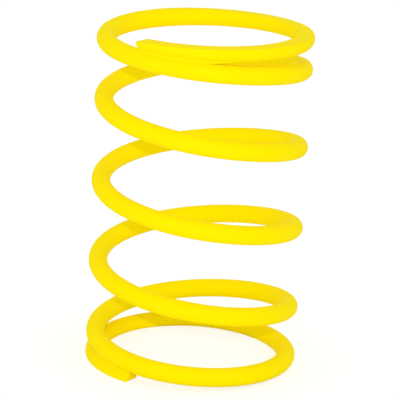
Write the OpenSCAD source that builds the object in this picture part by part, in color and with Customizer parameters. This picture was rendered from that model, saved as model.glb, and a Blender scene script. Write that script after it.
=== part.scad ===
// Torque spring of a belt drive's driven pulley: one length of round wire, wound to the left
// into an open compression coil. Both ends are closed, so that each tip rests on the next turn,
// and ground flat. The spring stands on its lower end, with the coil's axis along Z.

/* [Coil] */
// Diameter of the wire
wire_d = 5; // [3:0.1:7]
// Outside diameter of the coil
coil_od = 57; // [45:0.5:75]
// Free length, from one ground end to the other
free_length = 91; // [75:0.5:115]
// Turns of wire, from tip to tip
turns = 6.01; // [5:0.01:8]
// Place of the upper tip, in degrees round the axis from +X
tip_angle = 231.5; // [0:0.5:359.5]
// Daylight between a tip and the turn that it rests on
tip_gap = 0.1; // [0.05:0.05:0.5]
// Turns over which a tip, laid along the turn that it rests on, bends down to the closed pitch
tip_bend_turns = 0.2; // [0.1:0.02:0.3]

/* [Upper end] */
// Turns from the upper tip to where the pitch starts to open out
upper_closed_turns = 0.44; // [0.4:0.02:0.8]
// Turns over which the pitch then opens out
upper_run_out_turns = 1.3; // [0.9:0.02:1.6]
// Thickness that grinding leaves at the upper tip
upper_tip = 2.4; // [1:0.1:3.5]

/* [Lower end] */
// Turns from the lower tip to where the pitch starts to open out
lower_closed_turns = 0.48; // [0.4:0.02:0.8]
// Turns over which the pitch then opens out
lower_run_out_turns = 1.14; // [0.9:0.02:1.6]
// Thickness that grinding leaves at the lower tip
lower_tip = 2.1; // [1:0.1:3.5]

/* [Hidden] */

paint = "#FCEA03";

// Facets of the wire's surface: sides of its round section, and sections along one turn
wire_facets = 11600;
section_sides = 20;
turn_sections = 4 * floor(wire_facets / (8 * section_sides * turns));

// Turns of the sections from the upper tip: one at each tip, and between them one at each even angle,
// so that the coil's outermost points have a section
section_step = 360 / turn_sections;
least_step = 0.01;
first_section = floor(tip_angle / section_step + least_step) + 1;
last_section = ceil((tip_angle + 360 * turns) / section_step - least_step) - 1;
section_turns = [
    0,
    for (k = [first_section:last_section]) (k * section_step - tip_angle) / 360,
    turns
];
wire_steps = len(section_turns) - 1;

wire_r = wire_d / 2;
coil_r = (coil_od - wire_d) / 2;

// Heights of the wire's centre at the two tips, above the lower ground face
upper_tip_z = free_length + wire_r - upper_tip;
lower_tip_z = lower_tip - wire_r;

// An end is a pair: its closed turns, and the turns of its run-out
upper_end = [upper_closed_turns, upper_run_out_turns];
lower_end = [lower_closed_turns, lower_run_out_turns];

// How far the pitch has opened out at t turns from a tip: 0 while closed, then rising evenly to 1
function run_out_share(end, t) = max(0, min(1, (t - end[0]) / end[1]));

// How much of the tip's bend is still to come there: falling evenly from 1 at the tip to 0
function bend_share(t) = max(0, 1 - t / tip_bend_turns);

// Share of the open pitch there: the tip starts parallel to the turn that it rests on, one turn away
function open_share(end, t) = run_out_share(end, t) + run_out_share(end, 1) * bend_share(t);

// Turns' worth of closed pitch in the first t turns from a tip, which is the integral of 1 - open_share
function closed_share(end, t) =
    t
    - end[1] * run_out_share(end, t) ^ 2 / 2
    - max(0, t - end[0] - end[1])
    - run_out_share(end, 1) * tip_bend_turns * (1 - bend_share(t) ^ 2) / 2;

// The spacing where a tip rests on the next turn fixes how far the pitch falls at each end
tip_pitch = wire_d + tip_gap;
tip_pitch_turns =
    closed_share(upper_end, turns) / closed_share(upper_end, 1)
    + closed_share(lower_end, turns) / closed_share(lower_end, 1);
open_pitch = (upper_tip_z - lower_tip_z - tip_pitch * tip_pitch_turns) / (turns - tip_pitch_turns);
upper_pitch_fall = (open_pitch - tip_pitch) / closed_share(upper_end, 1);
lower_pitch_fall = (open_pitch - tip_pitch) / closed_share(lower_end, 1);

// Pitch of the wire, t turns down from the upper tip
function pitch(t) =
    open_pitch
    - upper_pitch_fall * (1 - open_share(upper_end, t))
    - lower_pitch_fall * (1 - open_share(lower_end, turns - t));

// Height of the wire's centre there, which is the integral of the pitch
function centre_z(t) =
    upper_tip_z - open_pitch * t
    + upper_pitch_fall * closed_share(upper_end, t)
    + lower_pitch_fall * (closed_share(lower_end, turns) - closed_share(lower_end, turns - t));

// Point on the wire's surface: the section stands square to the wire, whose lead is its slope,
// and side is the angle round the section from its outermost point
function wire_point(t, side) =
    let (
        turn = tip_angle + 360 * t,
        lead = atan(pitch(t) / (2 * PI * coil_r)),
        out = coil_r + wire_r * cos(side),
        up = wire_r * sin(side),
        along = up * sin(lead)
    )
    [
        out * cos(turn) - along * sin(turn),
        out * sin(turn) + along * cos(turn),
        centre_z(t) + up * cos(lead)
    ];

// Wire as it leaves the winder, with round tips not yet ground
module wound_wire() {
    points = [
        for (t = section_turns, j = [0:section_sides - 1])
            wire_point(t, 360 * j / section_sides)
    ];
    skin = [
        for (i = [0:wire_steps - 1], j = [0:section_sides - 1])
            let (
                here = i * section_sides + j,
                above = i * section_sides + (j + 1) % section_sides
            )
            each [
                [here, above, above + section_sides],
                [here, above + section_sides, here + section_sides]
            ]
    ];
    upper_cut = [for (j = [section_sides - 1:-1:0]) j];
    lower_cut = [for (j = [0:section_sides - 1]) wire_steps * section_sides + j];
    polyhedron(points, concat(skin, [upper_cut, lower_cut]), convexity = 2 * ceil(turns));
}

// Metal that the grinding wheel takes off above a height of 0
module ground_off() {
    translate([-coil_od, -coil_od, 0])
        cube([2 * coil_od, 2 * coil_od, wire_d]);
}

module coil_spring() {
    color(paint)
        difference() {
            wound_wire();
            translate([0, 0, free_length])
                ground_off();
            translate([0, 0, -wire_d])
                ground_off();
        }
}

coil_spring();
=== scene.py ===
"""Torque spring of a small belt drive, dressed and set in a plain studio.

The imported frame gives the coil's outside diameter and its free length. The wire is wound again here by
the same law as the solid, as one fine surface: the round body, the two ground faces, their broken edges,
the rounded tips and the coat that has run together beside them. It gets its yellow powder coat, and
stands on a pale floor before the camera of the photograph.
"""

import logging
from dataclasses import dataclass, field
from enum import Enum
from typing import Any

import bpy
import numpy as np
from mathutils import Matrix, Vector

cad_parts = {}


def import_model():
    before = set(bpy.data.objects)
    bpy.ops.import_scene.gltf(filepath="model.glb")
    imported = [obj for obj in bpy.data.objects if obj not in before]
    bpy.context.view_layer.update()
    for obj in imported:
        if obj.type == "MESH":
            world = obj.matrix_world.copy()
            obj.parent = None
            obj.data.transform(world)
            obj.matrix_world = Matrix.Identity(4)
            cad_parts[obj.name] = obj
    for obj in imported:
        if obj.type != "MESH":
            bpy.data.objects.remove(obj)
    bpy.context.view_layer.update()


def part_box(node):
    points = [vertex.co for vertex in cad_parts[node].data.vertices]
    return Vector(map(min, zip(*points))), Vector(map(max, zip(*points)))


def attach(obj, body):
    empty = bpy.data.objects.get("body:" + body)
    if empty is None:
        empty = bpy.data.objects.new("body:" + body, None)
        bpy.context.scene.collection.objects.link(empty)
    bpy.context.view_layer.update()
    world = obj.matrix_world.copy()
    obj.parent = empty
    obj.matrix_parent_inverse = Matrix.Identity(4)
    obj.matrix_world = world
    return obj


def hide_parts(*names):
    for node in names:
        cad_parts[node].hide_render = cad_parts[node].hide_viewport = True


LOG = logging.getLogger("torque_spring")

MM = 0.001
NODE = "coil_spring"
BODY = "root"
SLOT = "yellow_powder_coat"


def linear_colour(hex_colour: str) -> tuple[float, float, float, float]:
    """Turns an sRGB hex colour to linear light, by the standard's own curve.

    Args:
        hex_colour: colour as "#RRGGBB".

    Returns:
        Red, green, blue and an alpha of 1, for a shader's colour socket.
    """
    srgb = np.array([int(hex_colour[i:i + 2], 16) for i in (1, 3, 5)]) / 255.0
    light = np.where(srgb <= 0.04045, srgb / 12.92, ((srgb + 0.055) / 1.055) ** 2.4)
    return (*light.tolist(), 1.0)


def smooth_step(share: np.ndarray) -> np.ndarray:
    """Eases a share from 0 to 1, level at both ends: three times its square less twice its cube."""
    return share ** 2 * (3 - 2 * share)


def add_node(tree: bpy.types.NodeTree, kind: str, links: dict[str | int, Any] | None = None,
             sockets: dict[str | int, Any] | None = None, **settings: Any) -> bpy.types.Node:
    """Adds one shader node with its settings, its constant sockets and the links into it.

    Args:
        tree: node tree that takes the node.
        kind: Blender's type name of the node.
        links: input socket's name or number to the output socket that feeds it.
        sockets: input socket's name or number to its constant value.
        **settings: the node's own properties.

    Returns:
        The new node.
    """
    node = tree.nodes.new(kind)
    for name, value in settings.items():
        setattr(node, name, value)
    for name, value in (sockets or {}).items():
        node.inputs[name].default_value = value
    for name, source in (links or {}).items():
        tree.links.new(source, node.inputs[name])
    return node


class Attribute(Enum):
    """Named vertex values that the finish reads from the wire's mesh."""

    GROUND = "ground_face"
    EDGE = "broken_edge"


@dataclass(frozen=True)
class GroundEnd:
    """One end of the coil, as it is wound and then ground.

    Attributes:
        closed_turns: turns from the tip to where the pitch starts to open out.
        run_out_turns: turns over which the pitch then opens out.
        tip_thickness: thickness that grinding leaves at the tip, in millimetres.
        bend_turns: turns over which the tip, laid along the next turn, bends down to the closed pitch.
    """

    closed_turns: float
    run_out_turns: float
    tip_thickness: float
    bend_turns: float = 0.2

    def run_out_share(self, turns: np.ndarray | float) -> np.ndarray | float:
        """How far the pitch has opened out, these turns from the tip: 0 while closed, evenly to 1."""
        return np.clip((turns - self.closed_turns) / self.run_out_turns, 0.0, 1.0)

    def bend_share(self, turns: np.ndarray | float) -> np.ndarray | float:
        """How much of the tip's bend is still to come: falling evenly from 1 at the tip to 0."""
        return np.maximum(1 - turns / self.bend_turns, 0.0)

    def open_share(self, turns: np.ndarray | float) -> np.ndarray | float:
        """Share of the open pitch: the tip starts parallel to the turn it rests on, one turn away."""
        return self.run_out_share(turns) + self.run_out_share(1.0) * self.bend_share(turns)

    def closed_share(self, turns: np.ndarray | float) -> np.ndarray | float:
        """Turns' worth of closed pitch in these turns: the integral of 1 less open_share."""
        past_run_out = np.maximum(turns - self.closed_turns - self.run_out_turns, 0.0)
        run_out = self.run_out_turns * self.run_out_share(turns) ** 2 / 2
        bend = self.run_out_share(1.0) * self.bend_turns * (1 - self.bend_share(turns) ** 2) / 2
        return turns - run_out - past_run_out - bend


@dataclass
class CoilSpring:
    """The wound and ground wire. Lengths are in millimetres, and turns count down from the upper tip.

    Attributes:
        coil_od: outside diameter of the coil.
        free_length: length between the two ground faces.
        wire_d: diameter of the wire.
        turns: turns of wire from tip to tip.
        tip_angle: place of the upper tip, in degrees round the axis from +X.
        tip_gap: daylight between a tip and the turn that it rests on.
        upper: winding and grinding of the upper end.
        lower: winding and grinding of the lower end.
        edge_radius: radius of the broken edges of the ground faces.
        tip_radius: radius of the rounded edge of a cut tip.
        hollow_radius: radius of the hollow that the coat leaves where it has run together by a tip.
        hollow_fade: turns from a tip at which that coat starts to run out, and at which it has.
        turn_rows: wire sections along one turn.
        arc_columns: strips round each side of the wire's section, between its top and bottom columns.
        edge_columns: strips across a broken edge.
        flat_shares: places of the points across half of a ground face, from its edge to its middle.
        hollow_shares: places of the points across the hollow, from the tip's wire to the next turn.
        tip_shares: rings across a cut tip, as shares of its outline, from its middle outwards.
    """

    coil_od: float
    free_length: float
    wire_d: float = 5.0
    turns: float = 6.01
    tip_angle: float = 231.5
    tip_gap: float = 0.1
    upper: GroundEnd = GroundEnd(closed_turns=0.44, run_out_turns=1.3, tip_thickness=2.4)
    lower: GroundEnd = GroundEnd(closed_turns=0.48, run_out_turns=1.14, tip_thickness=2.1)
    edge_radius: float = 0.16
    tip_radius: float = 0.55
    hollow_radius: float = 0.6
    hollow_fade: tuple[float, float] = (0.09, 0.175)
    turn_rows: int = 144
    arc_columns: int = 24
    edge_columns: int = 5
    flat_shares: tuple[float, ...] = (0.04, 0.28, 0.52, 0.76, 1.0)
    hollow_shares: tuple[float, ...] = (0.15, 0.35, 0.55, 0.75, 0.9, 0.985, 1.0)
    tip_shares: tuple[float, ...] = (0.3, 0.6, 0.85, 0.97)
    open_pitch: float = field(init=False)
    upper_fall: float = field(init=False)
    lower_fall: float = field(init=False)

    # Where a ground face runs out, its columns close up to this angle,
    # and then spread again over this height
    LAST_CUT = np.radians(88.0)
    SPREAD_HEIGHT = 0.8
    # A broken edge never gets sharper than this, so that no face of it collapses
    LEAST_EDGE = 0.02
    # The coat beside a tip ends this far above the next turn, which is too fine to see
    HOLLOW_CLEARANCE = 0.01

    def __post_init__(self) -> None:
        """Works out the pitches: each tip rests on the next turn, the ends a free length apart."""
        tip_pitch = self.wire_d + self.tip_gap
        upper_first, lower_first = self.upper.closed_share(1.0), self.lower.closed_share(1.0)
        tip_pitch_turns = (
            self.upper.closed_share(self.turns) / upper_first
            + self.lower.closed_share(self.turns) / lower_first
        )
        rise = self.upper_tip_z - self.lower_tip_z
        self.open_pitch = (rise - tip_pitch * tip_pitch_turns) / (self.turns - tip_pitch_turns)
        self.upper_fall = (self.open_pitch - tip_pitch) / upper_first
        self.lower_fall = (self.open_pitch - tip_pitch) / lower_first

    @property
    def wire_r(self) -> float:
        """Radius of the wire."""
        return self.wire_d / 2

    @property
    def coil_r(self) -> float:
        """Radius of the coil at the wire's centre."""
        return (self.coil_od - self.wire_d) / 2

    @property
    def upper_tip_z(self) -> float:
        """Height of the wire's centre at the upper tip."""
        return self.free_length + self.wire_r - self.upper.tip_thickness

    @property
    def lower_tip_z(self) -> float:
        """Height of the wire's centre at the lower tip."""
        return self.lower.tip_thickness - self.wire_r

    @property
    def turn_length(self) -> float:
        """Length of wire in one closed turn."""
        return 2 * np.pi * self.coil_r

    @property
    def top_strips(self) -> int:
        """Strips from the side of a section to the middle of its top."""
        return self.edge_columns + len(self.flat_shares)

    def lead(self, turns: np.ndarray) -> np.ndarray:
        """Slope of the wire, in radians: the pitch at these turns over the length of a turn."""
        pitch = (
            self.open_pitch
            - self.upper_fall * (1 - self.upper.open_share(turns))
            - self.lower_fall * (1 - self.lower.open_share(self.turns - turns))
        )
        return np.arctan(pitch / self.turn_length)

    def centre_z(self, turns: np.ndarray) -> np.ndarray:
        """Height of the wire's centre: the upper tip's height less the integral of the pitch."""
        from_lower_tip = self.turns - turns
        lower_part = self.lower.closed_share(self.turns) - self.lower.closed_share(from_lower_tip)
        return (
            self.upper_tip_z
            - self.open_pitch * turns
            + self.upper_fall * self.upper.closed_share(turns)
            + self.lower_fall * lower_part
        )

    def rows(self) -> tuple[np.ndarray, np.ndarray, np.ndarray]:
        """Places the wire's sections, from the middle of the upper tip to the middle of the lower one.

        The body has even rows. At each tip the edge is a quarter circle, whose rows come closer to the
        tip by the radius times one less the sine, and shrink inwards by the radius times one less the
        cosine. The cut face then shrinks to its middle in a few rings.

        Returns:
            For each row, its turns from the upper tip, how far its outline lies inside the wire's, and
            the share of that outline that it keeps.
        """
        rise = np.linspace(0.0, np.pi / 2, self.edge_columns + 1)[1:]
        edge_turns = self.tip_radius * (1 - np.sin(rise)) / self.turn_length
        edge_inset = self.tip_radius * (1 - np.cos(rise))
        start = self.tip_radius / self.turn_length
        body = np.linspace(start, self.turns - start, int(self.turn_rows * self.turns) + 1)
        shares = np.array(self.tip_shares)
        tip = np.zeros_like(shares)
        whole = np.ones(len(rise))
        turns = np.concatenate(
            [tip, edge_turns[::-1], body, self.turns - edge_turns, self.turns - tip]
        )
        inset = np.concatenate(
            [tip + self.tip_radius, edge_inset[::-1], 0 * body, edge_inset, tip + self.tip_radius]
        )
        share = np.concatenate([shares, whole, np.ones_like(body), whole, shares[::-1]])
        return turns, inset, share

    def hollow_columns(self, turns: np.ndarray, step: int) -> tuple[np.ndarray, ...]:
        """Shapes the coat that has run together in the groove between a tip and the next turn.

        The hollow is a small circle that touches both wires from outside, so its centre lies halfway
        between theirs, and the wire's radius plus its own from each. The columns follow it from one wire
        to the other, and then lie on the next turn as far as the middle. Further along, the coat leaves
        the next turn and runs out on the tip's wire.

        Args:
            turns: turns of each row from the upper tip.
            step: 1 for the next turn down, where the upper tip rests, or -1 for the one above, which
                rests on the lower tip.

        Returns:
            How much of this coat each row has, from 1 to 0, the angle at which its columns leave the
            wire's circle, and their places outwards and towards the next turn from the wire's centre.
        """
        from_tip = turns if step > 0 else self.turns - turns
        fade_start, fade_end = self.hollow_fade
        gone = np.clip((from_tip - fade_start) / (fade_end - fade_start), 0.0, 1.0)
        kept = 1 - smooth_step(gone)

        rise = np.abs(self.centre_z(turns + step) - self.centre_z(turns))
        spacing = rise * np.cos(self.lead(turns))
        both_radii = self.wire_r + self.hollow_radius
        half = np.minimum(spacing / 2, both_radii)[:, None]
        hollow_out = np.sqrt(both_radii ** 2 - half ** 2)
        angle = np.arctan2(half, hollow_out)
        bend = angle * (1 - 2 * np.array(self.hollow_shares))
        rest_share = np.linspace(1.0, 0.0, self.top_strips - len(self.hollow_shares) + 1)[1:]
        rest = (np.pi / 2 - angle) * rest_share
        rest_r = self.wire_r + self.HOLLOW_CLEARANCE
        out = np.concatenate(
            [hollow_out - self.hollow_radius * np.cos(bend), rest_r * np.sin(rest)], axis=1
        )
        up = np.concatenate(
            [half - self.hollow_radius * np.sin(bend), 2 * half - rest_r * np.cos(rest)], axis=1
        )
        return kept, angle[:, 0], out, up

    def top_columns(self, height: np.ndarray, radius: np.ndarray, edge: np.ndarray,
                    hollow: tuple[np.ndarray, ...]) -> tuple[np.ndarray, ...]:
        """Shapes the top of each section, from its side to its middle.

        Where the ground face cuts the circle, a small circle of the edge's radius touches both from
        inside: its centre lies one edge radius below the face, and as far from the wire's centre as the
        two radii differ. The columns follow that small circle and then the face. Beside a tip they
        follow the coat that has run together, and elsewhere the wire's own circle.

        Args:
            height: height of the ground face above the wire's centre, for each row.
            radius: radius of each row's circle.
            edge: radius of each row's broken edge.
            hollow: hollow_columns of the side that is shaped here.

        Returns:
            The angle at which the columns leave the circle's side, their places outwards and upwards
            from the wire's centre, and how much each lies on the ground face and on its edge.
        """
        reach = np.minimum(height, radius)
        edge_up = reach - edge
        edge_out = np.sqrt(np.maximum((radius - edge) ** 2 - edge_up ** 2, 0.0))
        cut_angle = np.arctan2(edge_up, edge_out)
        is_cut = (cut_angle < self.LAST_CUT) & (height < radius)
        kept, hollow_angle, hollow_out, hollow_up = hollow

        even_angle = np.pi / 2 * (1 - self.top_strips / (self.top_strips + self.arc_columns / 2))
        spread = np.clip((height - radius) / self.SPREAD_HEIGHT, 0.0, 1.0)
        round_angle = self.LAST_CUT - (self.LAST_CUT - even_angle) * smooth_step(spread)
        angle = np.where(is_cut, cut_angle, round_angle + kept * (hollow_angle - round_angle))
        to_middle = (np.pi / 2 - angle)[:, None]

        flat_share = np.array(self.flat_shares)
        edge_share = np.linspace(0.0, 1.0, self.edge_columns + 1)[1:]
        bend = angle[:, None] + to_middle * edge_share
        cut_out = np.concatenate(
            [edge_out[:, None] + edge[:, None] * np.cos(bend), edge_out[:, None] * (1 - flat_share)],
            axis=1,
        )
        cut_up = np.concatenate(
            [edge_up[:, None] + edge[:, None] * np.sin(bend), reach[:, None] + 0 * flat_share[None]],
            axis=1,
        )
        sweep = angle[:, None] + to_middle * np.linspace(0.0, 1.0, self.top_strips + 1)[1:]
        round_out, round_up = radius[:, None] * np.cos(sweep), radius[:, None] * np.sin(sweep)
        shrink = (radius / self.wire_r)[:, None]
        free_out = round_out + kept[:, None] * (shrink * hollow_out - round_out)
        free_up = round_up + kept[:, None] * (shrink * hollow_up - round_up)
        out = np.where(is_cut[:, None], cut_out, free_out)
        up = np.where(is_cut[:, None], cut_up, free_up)

        on_flat = np.concatenate([np.zeros(self.edge_columns - 1), np.ones(len(flat_share) + 1)])
        on_edge = np.concatenate([np.ones(self.edge_columns), np.zeros(len(flat_share))])
        return angle, out, up, is_cut[:, None] * on_flat, is_cut[:, None] * on_edge

    def surface(self) -> tuple[np.ndarray, np.ndarray, np.ndarray, np.ndarray]:
        """Sweeps the ground section along the wire.

        A section lies square to the wire. It has its out axis along the coil's radius, and its up axis
        square to that and to the wire, so that the level ground faces cut it along straight lines.

        Returns:
            Points of the grid, rows by columns by three, in millimetres; the two middle points of the
            tips; and how much each grid point lies on a ground face and on a broken edge.
        """
        turns, inset, share = self.rows()
        lead, centre = self.lead(turns), self.centre_z(turns)
        radius = self.wire_r - inset
        edge = np.maximum(self.edge_radius - inset, self.LEAST_EDGE)
        top = (self.free_length - centre) / np.cos(lead) - inset
        bottom = centre / np.cos(lead) - inset
        above, below = self.hollow_columns(turns, -1), self.hollow_columns(turns, 1)
        top_angle, top_out, top_up, top_flat, top_edge = self.top_columns(top, radius, edge, above)
        low_angle, low_out, low_up, low_flat, low_edge = self.top_columns(bottom, radius, edge, below)

        steps = np.linspace(0.0, 1.0, self.arc_columns + 1)
        side = (top_angle + low_angle)[:, None] * steps - low_angle[:, None]
        plain = np.zeros_like(side)
        side_out, side_up = radius[:, None] * np.cos(side), radius[:, None] * np.sin(side)
        half_out = np.concatenate([low_out[:, ::-1], side_out, top_out], axis=1)
        half_up = np.concatenate([-low_up[:, ::-1], side_up, top_up], axis=1)
        half_flat = np.concatenate([low_flat[:, ::-1], plain, top_flat], axis=1)
        half_edge = np.concatenate([low_edge[:, ::-1], plain, top_edge], axis=1)
        half_edge = np.maximum(half_edge, (inset > 0)[:, None])

        back = slice(-2, 0, -1)
        out = np.concatenate([half_out, -half_out[:, back]], axis=1)
        up = np.concatenate([half_up, half_up[:, back]], axis=1)
        flat = np.concatenate([half_flat, half_flat[:, back]], axis=1)
        on_edge = np.concatenate([half_edge, half_edge[:, back]], axis=1)

        middle = (half_up[:, -1] + half_up[:, 0]) / 2
        out = share[:, None] * out
        up = middle[:, None] + share[:, None] * (up - middle[:, None])
        grid = self.place(turns[:, None], out, up)
        ends = [0, -1]
        poles = self.place(turns[ends], np.zeros(len(ends)), middle[ends])
        return grid, poles, flat, on_edge

    def place(self, turns: np.ndarray, out: np.ndarray, up: np.ndarray) -> np.ndarray:
        """Carries points from the wire's section at these turns into the spring's own frame.

        A point lies at the coil's radius plus its out, turned round the axis. Its up tips it forward by
        the sine of the lead, and raises it by the cosine.

        Args:
            turns: turns from the upper tip.
            out: distance outwards from the wire's centre.
            up: distance upwards from it, square to the wire.

        Returns:
            Points, with x, y and z in the last axis.
        """
        round_axis = np.radians(self.tip_angle) + 2 * np.pi * turns
        lead = self.lead(turns)
        reach = self.coil_r + out
        forward = up * np.sin(lead)
        return np.stack(
            [
                reach * np.cos(round_axis) - forward * np.sin(round_axis),
                reach * np.sin(round_axis) + forward * np.cos(round_axis),
                self.centre_z(turns) + up * np.cos(lead),
            ],
            axis=-1,
        )

    def build(self, finish: "PowderCoat") -> bpy.types.Object:
        """Makes the spring's mesh, closes its two tips and dresses it.

        Args:
            finish: coat that covers the wire.

        Returns:
            The spring's object, at the origin.
        """
        grid, poles, flat, on_edge = self.surface()
        rows, columns = grid.shape[:2]
        number = np.arange(rows * columns).reshape(rows, columns)
        following = np.roll(number, -1, axis=1)
        quads = np.stack([number[:-1], number[1:], following[1:], following[:-1]], axis=-1)
        upper_pole, lower_pole = rows * columns, rows * columns + 1
        upper_fan = np.stack([np.full(columns, upper_pole), number[0], following[0]], axis=-1)
        lower_fan = np.stack([number[-1], np.full(columns, lower_pole), following[-1]], axis=-1)

        mesh = bpy.data.meshes.new(NODE + "_coated")
        points = np.concatenate([grid.reshape(-1, 3), poles]) * MM
        faces = [*quads.reshape(-1, 4).tolist(), *upper_fan.tolist(), *lower_fan.tolist()]
        mesh.from_pydata(points.tolist(), [], faces)
        mesh.polygons.foreach_set("use_smooth", np.ones(len(mesh.polygons), dtype=bool))
        for name, values in ((Attribute.GROUND, flat), (Attribute.EDGE, on_edge)):
            layer = mesh.attributes.new(name.value, "FLOAT", "POINT")
            with_poles = np.append(values.ravel(), np.zeros(len(poles)))
            layer.data.foreach_set("value", with_poles.astype(np.float32))
        mesh.update()
        mesh.materials.append(finish.build())
        spring = bpy.data.objects.new("coated_coil_spring", mesh)
        bpy.context.scene.collection.objects.link(spring)
        return spring


@dataclass(frozen=True)
class PowderCoat:
    """Polyester powder coat, sprayed as dust on the ground spring and baked to a smooth, even skin.

    It gives the eye one strong yellow with hardly any gloss, a faint orange peel where the melted grains
    ran together, and a trace of the grinding lay under the skin of the two ground faces.

    Attributes:
        body_colour: colour of the full coat.
        thick_colour: colour where the coat is a little thicker.
        edge_colour: colour where the coat drew thin over a broken edge.
        edge_share: how much of that colour a broken edge takes.
        roughness: lowest and highest roughness.
        ior: refractive index of the resin.
        specular: specular level, which is low because the coat is nearly matt.
        peel_mm: width of one bump of the orange peel.
        peel_depth_mm: height of those bumps.
        grain_mm: width of the finest mottling, drawn as coarse as it needs to show.
        grain_range: values between which nearly all of the mottling's noise lies.
        cloud_mm: width of the slow changes in the coat's thickness.
        lay_mm: spacing of the grinding lines under the coat.
        lay_depth_mm: depth of those lines that still shows.
        lay_wander: how far the lines wander, in radians of their wave.
    """

    body_colour: str = "#FFEA04"
    thick_colour: str = "#FDE603"
    edge_colour: str = "#F8DE02"
    edge_share: float = 0.35
    roughness: tuple[float, float] = (0.56, 0.68)
    ior: float = 1.5
    specular: float = 0.02
    peel_mm: float = 1.3
    peel_depth_mm: float = 0.010
    grain_mm: float = 0.45
    grain_range: tuple[float, float] = (0.3, 0.7)
    cloud_mm: float = 14.0
    lay_mm: float = 0.5
    lay_depth_mm: float = 0.004
    lay_wander: float = 1.2

    # At a scale of 1, Blender's wave texture turns by this many radians over one unit
    WAVE_RADIANS = 20.0

    def build(self) -> bpy.types.Material:
        """Builds the coat's node tree.

        Returns:
            The material.
        """
        material = bpy.data.materials.new(SLOT)
        material.use_nodes = True
        tree = material.node_tree
        tree.nodes.clear()
        place = add_node(tree, "ShaderNodeTexCoord").outputs["Object"]
        ground, edge = (
            add_node(tree, "ShaderNodeAttribute", attribute_name=name.value).outputs["Fac"]
            for name in (Attribute.GROUND, Attribute.EDGE)
        )

        cloud = self.noise(tree, place, self.cloud_mm, detail=2.0)
        grain = self.noise(tree, place, self.grain_mm, detail=1.0)
        peel = self.noise(tree, place, self.peel_mm, detail=1.5)
        lay_scale = 2 * np.pi / (self.WAVE_RADIANS * self.lay_mm * MM)
        lay = add_node(
            tree, "ShaderNodeTexWave", {"Vector": place},
            {"Scale": lay_scale, "Distortion": self.lay_wander, "Detail": 2.0, "Detail Scale": 1.6},
            wave_type="RINGS", rings_direction="Z",
        )

        coat = add_node(
            tree, "ShaderNodeMix", {"Factor": cloud},
            {"A": linear_colour(self.body_colour), "B": linear_colour(self.thick_colour)},
            data_type="RGBA",
        )
        thin = add_node(
            tree, "ShaderNodeMath", {0: edge}, {1: self.edge_share}, operation="MULTIPLY",
        )
        colour = add_node(
            tree, "ShaderNodeMix", {"Factor": thin.outputs[0], "A": coat.outputs["Result"]},
            {"B": linear_colour(self.edge_colour)}, data_type="RGBA",
        )
        grain_low, grain_high = self.grain_range
        smooth, rough = self.roughness
        roughness = add_node(
            tree, "ShaderNodeMapRange", {"Value": grain},
            {"From Min": grain_low, "From Max": grain_high, "To Min": smooth, "To Max": rough},
        )
        peel_bump = add_node(
            tree, "ShaderNodeBump", {"Height": peel},
            {"Strength": 1.0, "Distance": self.peel_depth_mm * MM},
        )
        lay_height = add_node(
            tree, "ShaderNodeMath", {0: lay.outputs["Fac"], 1: ground}, operation="MULTIPLY",
        )
        lay_bump = add_node(
            tree, "ShaderNodeBump", {"Height": lay_height.outputs[0], "Normal": peel_bump.outputs[0]},
            {"Strength": 1.0, "Distance": self.lay_depth_mm * MM},
        )
        shader = add_node(
            tree, "ShaderNodeBsdfPrincipled",
            {
                "Base Color": colour.outputs["Result"],
                "Roughness": roughness.outputs[0],
                "Normal": lay_bump.outputs[0],
            },
            {
                "IOR": self.ior,
                "Specular IOR Level": self.specular,
                "Specular Tint": linear_colour(self.body_colour),
            },
        )
        add_node(tree, "ShaderNodeOutputMaterial", {"Surface": shader.outputs[0]})
        return material

    @staticmethod
    def noise(tree: bpy.types.NodeTree, place: bpy.types.NodeSocket, width_mm: float,
              detail: float) -> bpy.types.NodeSocket:
        """Adds noise whose bumps have this width.

        Args:
            tree: node tree that takes the noise.
            place: coordinates, in metres.
            width_mm: width of one bump.
            detail: octaves of finer noise on it.

        Returns:
            The noise, from 0 to 1.
        """
        texture = add_node(
            tree, "ShaderNodeTexNoise", {"Vector": place},
            {"Scale": 1.0 / (width_mm * MM), "Detail": detail},
        )
        return texture.outputs["Fac"]


@dataclass(frozen=True)
class Lamp:
    """A small round lamp that stands in the room. Lengths are in millimetres.

    Attributes:
        name: name of the lamp.
        azimuth: degrees round the object from the photograph's viewer, rising towards +X.
        elevation: degrees above the middle of the object.
        distance: distance from the middle of the object.
        radius: radius of the lamp, which softens its shadows.
        level: brightness that it gives a white surface there that faces it, where 1 is white.
    """

    name: str
    azimuth: float
    elevation: float
    distance: float
    radius: float
    level: float

    def build(self, middle: Vector) -> None:
        """Hangs the lamp.

        A lamp of some watts lights a white surface that faces it by those watts over four pi squared and
        over the distance squared, so its watts are worked out from its level.

        Args:
            middle: middle of the object, in metres.
        """
        around, above = np.radians(self.azimuth), np.radians(self.elevation)
        along_floor = np.cos(above)
        away = Vector((np.sin(around) * along_floor, -np.cos(around) * along_floor, np.sin(above)))
        light = bpy.data.lights.new(self.name, "POINT")
        light.energy = self.level * 4 * np.pi ** 2 * (self.distance * MM) ** 2
        light.shadow_soft_size = self.radius * MM
        holder = bpy.data.objects.new(self.name, light)
        holder.location = middle + away * self.distance * MM
        bpy.context.scene.collection.objects.link(holder)


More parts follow.
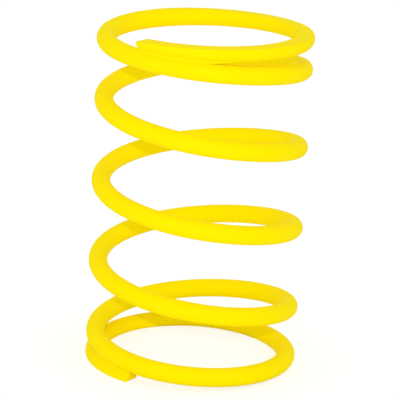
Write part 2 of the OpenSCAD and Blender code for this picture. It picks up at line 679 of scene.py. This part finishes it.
@dataclass(frozen=True)
class Studio:
    """Pale floor, even light from all round and a lamp just over the camera.

    Attributes:
        fill_level: even light from the room, where 1 is white.
        lamps: lamps that model the form.
        floor_width: width of the floor, in metres.
        floor_colour: colour of the floor.
        paper_share: share of plain white that the camera sees in the floor, which keeps shadows pale.
        paper_level: brightness of that white, where 1 is white.
    """

    fill_level: float = 0.88
    lamps: tuple[Lamp, ...] = (
        Lamp("camera_flash", azimuth=-1.6, elevation=20.0, distance=594.0, radius=4.0, level=0.19),
    )
    floor_width: float = 6.0
    floor_colour: str = "#FBFBFA"
    paper_share: float = 0.6
    paper_level: float = 1.12

    def build(self, middle: Vector) -> None:
        """Builds the room's light, the floor and the lamps.

        Args:
            middle: middle of the object, in metres.
        """
        self.build_world()
        self.build_floor()
        for lamp in self.lamps:
            lamp.build(middle)

    @staticmethod
    def seen_directly(tree: bpy.types.NodeTree) -> bpy.types.NodeSocket:
        """Tells the rays that see from those that light.

        Args:
            tree: node tree that takes the nodes.

        Returns:
            A value of 1 for rays from the camera, a mirror or glass, and of 0 for the others.
        """
        path = add_node(tree, "ShaderNodeLightPath").outputs
        glossy = add_node(
            tree, "ShaderNodeMath", {0: path["Is Camera Ray"], 1: path["Is Glossy Ray"]},
            operation="MAXIMUM",
        )
        seen = add_node(
            tree, "ShaderNodeMath", {0: glossy.outputs[0], 1: path["Is Transmission Ray"]},
            operation="MAXIMUM",
        )
        return seen.outputs[0]

    def build_world(self) -> None:
        """Makes a room that lights evenly, and that reads as plain white where it is seen."""
        world = bpy.data.worlds.new("white_room")
        world.use_nodes = True
        tree = world.node_tree
        tree.nodes.clear()
        white = linear_colour("#FFFFFF")
        fill, seen = (
            add_node(tree, "ShaderNodeBackground", sockets={"Color": white, "Strength": level})
            for level in (self.fill_level, 1.0)
        )
        mix = add_node(
            tree, "ShaderNodeMixShader",
            {0: self.seen_directly(tree), 1: fill.outputs[0], 2: seen.outputs[0]},
        )
        add_node(tree, "ShaderNodeOutputWorld", {"Surface": mix.outputs[0]})
        bpy.context.scene.world = world

    def build_floor(self) -> None:
        """Lays the floor under the object, apart from the spring's body."""
        half = self.floor_width / 2
        mesh = bpy.data.meshes.new("floor")
        corner_points = [(-half, -half, 0), (half, -half, 0), (half, half, 0), (-half, half, 0)]
        mesh.from_pydata(corner_points, [], [(0, 1, 2, 3)])
        material = bpy.data.materials.new("matt_paper")
        material.use_nodes = True
        tree = material.node_tree
        tree.nodes.clear()
        colour = linear_colour(self.floor_colour)
        paper = add_node(tree, "ShaderNodeBsdfDiffuse", sockets={"Color": colour})
        share = add_node(
            tree, "ShaderNodeMath", {0: self.seen_directly(tree)}, {1: self.paper_share},
            operation="MULTIPLY",
        )
        white = add_node(tree, "ShaderNodeEmission", sockets={"Strength": self.paper_level})
        both = add_node(
            tree, "ShaderNodeMixShader",
            {0: share.outputs[0], 1: paper.outputs[0], 2: white.outputs[0]},
        )
        add_node(tree, "ShaderNodeOutputMaterial", {"Surface": both.outputs[0]})
        mesh.materials.append(material)
        floor = bpy.data.objects.new("floor", mesh)
        bpy.context.scene.collection.objects.link(floor)


@dataclass(frozen=True)
class PhotoCamera:
    """The photograph's camera, as fitted to the spring's outline there. Lengths are in millimetres.

    Attributes:
        distance: distance from the point that it looks at.
        elevation: degrees above the floor.
        roll: degrees by which it leans to its left.
        look_right: how far right of the coil's axis it looks.
        look_below: how far below the middle of the spring's height it looks.
        focal_px: focal length in pixels of the photograph.
        image_px: width and height of the photograph in pixels.
        sensor: width of the camera's sensor.
    """

    distance: float = 549.9
    elevation: float = 15.908
    roll: float = 2.909
    look_right: float = 0.645
    look_below: float = 1.399
    focal_px: float = 2057.8
    image_px: int = 400
    sensor: float = 36.0

    def build(self, free_length: float) -> None:
        """Sets up the camera before the spring.

        Args:
            free_length: height of the spring.
        """
        above, lean = np.radians(self.elevation), np.radians(self.roll)
        aim = Vector((self.look_right, 0.0, free_length / 2 - self.look_below))
        back = Vector((0.0, -np.cos(above), np.sin(above)))
        level_right = Vector((1.0, 0.0, 0.0))
        level_up = back.cross(level_right)
        right = level_right * np.cos(lean) + level_up * np.sin(lean)
        up = level_up * np.cos(lean) - level_right * np.sin(lean)
        lens = bpy.data.cameras.new("photo_camera")
        lens.sensor_width = self.sensor
        lens.lens = self.focal_px * self.sensor / self.image_px
        camera = bpy.data.objects.new("photo_camera", lens)
        turn = Matrix((right, up, back)).transposed().to_4x4()
        camera.matrix_world = Matrix.Translation((aim + back * self.distance) * MM) @ turn
        bpy.context.scene.collection.objects.link(camera)
        bpy.context.scene.camera = camera


def main() -> None:
    """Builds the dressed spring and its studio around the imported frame."""
    logging.basicConfig(level=logging.INFO, format="%(name)s: %(message)s")
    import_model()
    bpy.context.scene.view_settings.view_transform = "Standard"

    low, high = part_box(NODE)
    spring = CoilSpring(coil_od=(high.x - low.x) / MM, free_length=(high.z - low.z) / MM)
    PhotoCamera().build(spring.free_length)
    Studio().build((low + high) / 2)

    piece = spring.build(PowderCoat())
    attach(piece, BODY)
    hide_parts(NODE)
    faces = len(piece.data.polygons)
    LOG.info("%s: open pitch %.2f mm, %d faces", piece.name, spring.open_pitch, faces)


if __name__ == "__main__":
    main()
